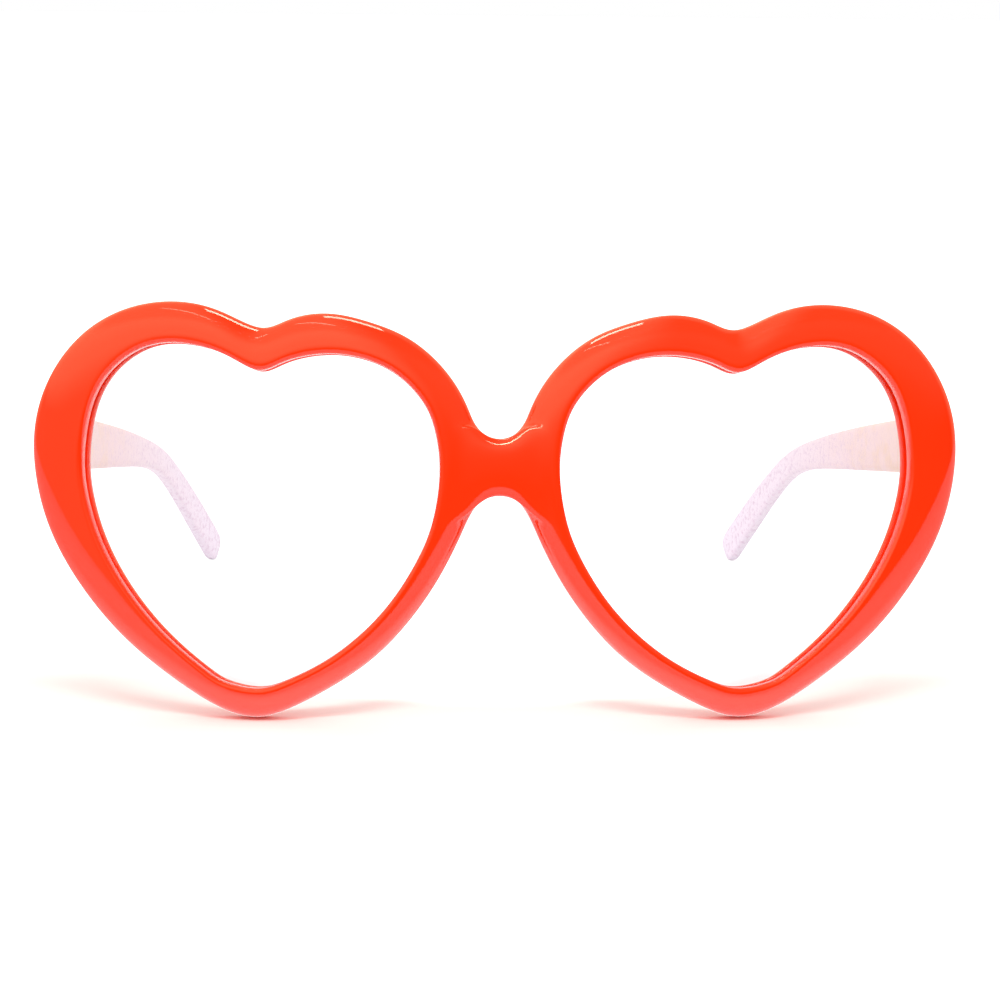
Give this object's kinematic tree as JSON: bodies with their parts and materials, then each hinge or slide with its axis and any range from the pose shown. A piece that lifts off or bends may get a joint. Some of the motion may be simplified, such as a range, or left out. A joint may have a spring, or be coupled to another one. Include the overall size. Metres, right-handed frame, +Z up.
{
  "type": "heart shaped sunglasses",
  "caption": "Heart shaped sunglasses with a glossy moulded front, clear lenses and folding temples on small metal hinges.",
  "frame": {"origin": "middle of the footprint, on the table that the glasses stand on", "axes": "+Z up from the table, +X across the face to the right-hand heart as seen from the front, +Y back from the front to the ear tips"},
  "size_m": [0.16, 0.1378, 0.0701],
  "materials": {
    "frame_red": "glossy moulded",
    "lens_clear": "clear, polished",
    "temple_pink": "glossy, with small darker flecks",
    "hinge_steel": "fine brushed",
    "screw_steel": "polished"
  },
  "bodies": {
    "front": {"front_frame": "frame_red", "lens_left": "lens_clear", "lens_right": "lens_clear", "front_hinge_leaf_left": "hinge_steel", "front_hinge_leaf_right": "hinge_steel", "hinge_screw_left": "screw_steel", "hinge_screw_right": "screw_steel", "front_leaf_screws_left": "screw_steel", "front_leaf_screws_right": "screw_steel"},
    "temple_left_body": {"temple_left": "temple_pink", "temple_hinge_leaf_left": "hinge_steel", "temple_leaf_screws_left": "screw_steel"},
    "temple_right_body": {"temple_right": "temple_pink", "temple_hinge_leaf_right": "hinge_steel", "temple_leaf_screws_right": "screw_steel"}
  },
  "joints": [
    {"name": "temple_left_fold", "type": "hinge", "parent": "front", "child": "temple_left_body", "pos_m": [-0.0732, -0.04623, 0.0448], "axis": [0, -0.1859, -0.9826], "range_deg": [0, 84]},
    {"name": "temple_right_fold", "type": "hinge", "parent": "front", "child": "temple_right_body", "pos_m": [0.0732, -0.04623, 0.0448], "axis": [0, 0.1859, 0.9826], "range_deg": [0, 78]}
  ]
}
